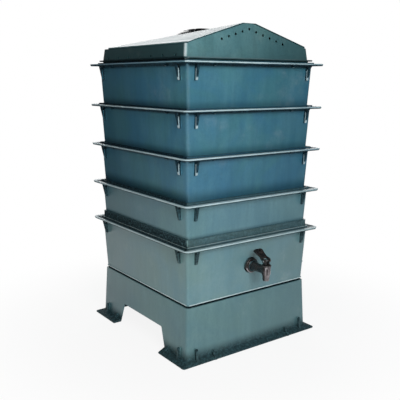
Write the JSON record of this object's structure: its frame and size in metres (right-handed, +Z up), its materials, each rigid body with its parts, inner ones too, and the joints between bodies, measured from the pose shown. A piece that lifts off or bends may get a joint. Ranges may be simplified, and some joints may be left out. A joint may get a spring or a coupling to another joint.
{
  "type": "wormery",
  "caption": "Stacking worm composter: roofed vented lid with a grip, nesting working trays, deep collecting tray with a lever tap, and an arched stand.",
  "frame": {"origin": "middle of the whole object's outline on the floor, the tap included", "axes": "+Z up, -Y towards the front wall that carries the tap, +X to the right of someone facing the front"},
  "size_m": [0.414, 0.487, 0.7614],
  "materials": {
    "green_plastic": "semi-matt injection-moulded polypropylene, blue-green with a faint marbled streak",
    "black_plastic": "fine-grained black moulded plastic",
    "tap_plastic": "smooth black moulded plastic with a soft gloss",
    "rubber": "matt black rubber",
    "screw_steel": "bright stainless steel"
  },
  "bodies": {
    "stand": {"base_stand": "green_plastic"},
    "collector": {"collector_tray": "green_plastic", "worm_ladder": "green_plastic", "tap_body": "tap_plastic", "tap_gasket": "rubber", "tap_inner_washer": "rubber", "tap_back_nut": "tap_plastic", "tap_bonnet": "tap_plastic", "tap_spring": "screw_steel"},
    "plunger": {"tap_plunger": "tap_plastic", "tap_seat": "rubber"},
    "lever": {"tap_lever": "tap_plastic", "tap_lever_pin": "screw_steel"},
    "tray_4": {"working_tray_4": "green_plastic"},
    "tray_3": {"working_tray_3": "green_plastic"},
    "tray_2": {"working_tray_2": "green_plastic"},
    "tray_1": {"working_tray_1": "green_plastic"},
    "lid": {"lid": "green_plastic", "lid_handle": "black_plastic", "lid_screw_front": "screw_steel", "lid_screw_back": "screw_steel"}
  },
  "joints": [
    {"name": "collector_lift", "type": "slide", "parent": "stand", "child": "collector", "axis": [0, 0, 1], "range_m": [0, 0.12]},
    {"name": "tray_4_lift", "type": "slide", "parent": "collector", "child": "tray_4", "axis": [0, 0, 1], "range_m": [0, 0.12]},
    {"name": "tray_3_lift", "type": "slide", "parent": "tray_4", "child": "tray_3", "axis": [0, 0, 1], "range_m": [0, 0.12]},
    {"name": "tray_2_lift", "type": "slide", "parent": "tray_3", "child": "tray_2", "axis": [0, 0, 1], "range_m": [0, 0.12]},
    {"name": "tray_1_lift", "type": "slide", "parent": "tray_2", "child": "tray_1", "axis": [0, 0, 1], "range_m": [0, 0.12]},
    {"name": "lid_lift", "type": "slide", "parent": "tray_1", "child": "lid", "axis": [0, 0, 1], "range_m": [0, 0.12]},
    {"name": "tap_lever_hinge", "type": "hinge", "parent": "collector", "child": "lever", "pos_m": [0, -0.232, 0.228], "axis": [1, 0, 0], "range_deg": [0, 85], "stiffness_Nm_per_rad": 0.0034, "springref_deg": -50.99},
    {"name": "tap_plunger_slide", "type": "slide", "parent": "collector", "child": "plunger", "axis": [0, 0, 1], "range_m": [0, 0.005], "deforming": ["tap_spring"]}
  ],
  "couplings": [
    {"joint": "tap_plunger_slide", "follows": "tap_lever_hinge", "m_per_rad": 0.00337}
  ]
}
